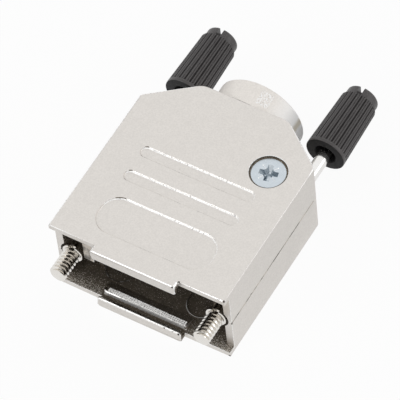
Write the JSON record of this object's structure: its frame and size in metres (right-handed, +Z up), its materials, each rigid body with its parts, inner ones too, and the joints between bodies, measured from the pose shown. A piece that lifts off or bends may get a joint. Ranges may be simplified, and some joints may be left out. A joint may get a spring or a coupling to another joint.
{
  "type": "connector hood",
  "caption": "Split die-cast hood for a small multi-pin connector, with a flange mouth, round cable entry and captive thumbscrews.",
  "frame": {"origin": "on the base shell's underside, midway between the side walls, under the plane that the connector's flange seats on", "axes": "+X across the hood to its right side, +Y from the connector end to the cable end, +Z up"},
  "size_m": [0.0312, 0.0496, 0.0148],
  "materials": {
    "nickel_zinc": "satin nickel plate on a fine-grained zinc casting",
    "zinc_plated_steel": "bright zinc plate, slightly blue",
    "nickel_steel": "bright nickel-plated turned steel",
    "black_plastic": "satin moulded plastic"
  },
  "bodies": {
    "hood": {"base_shell": "nickel_zinc", "cover_shell": "nickel_zinc", "cover_screw": "zinc_plated_steel", "base_screw": "zinc_plated_steel", "cable_clamp": "zinc_plated_steel", "left_clamp_screw": "zinc_plated_steel", "right_clamp_screw": "zinc_plated_steel"},
    "left_ring": {"left_retaining_ring": "nickel_steel"},
    "right_ring": {"right_retaining_ring": "nickel_steel"},
    "left_thumbscrew": {"left_jackscrew": "nickel_steel", "left_knob": "black_plastic"},
    "right_thumbscrew": {"right_jackscrew": "nickel_steel", "right_knob": "black_plastic"}
  },
  "joints": [
    {"name": "left_thumbscrew_slide", "type": "slide", "parent": "hood", "child": "left_ring", "axis": [0, 1, 0], "range_m": [-0.0029, 0.0041]},
    {"name": "left_thumbscrew_spin", "type": "hinge", "parent": "left_ring", "child": "left_thumbscrew", "pos_m": [-0.01249, 0, 0.0074], "axis": [0, 1, 0], "continuous": true},
    {"name": "right_thumbscrew_slide", "type": "slide", "parent": "hood", "child": "right_ring", "axis": [0, 1, 0], "range_m": [-0.0029, 0.0041]},
    {"name": "right_thumbscrew_spin", "type": "hinge", "parent": "right_ring", "child": "right_thumbscrew", "pos_m": [0.01249, 0, 0.0074], "axis": [0, 1, 0], "continuous": true}
  ]
}
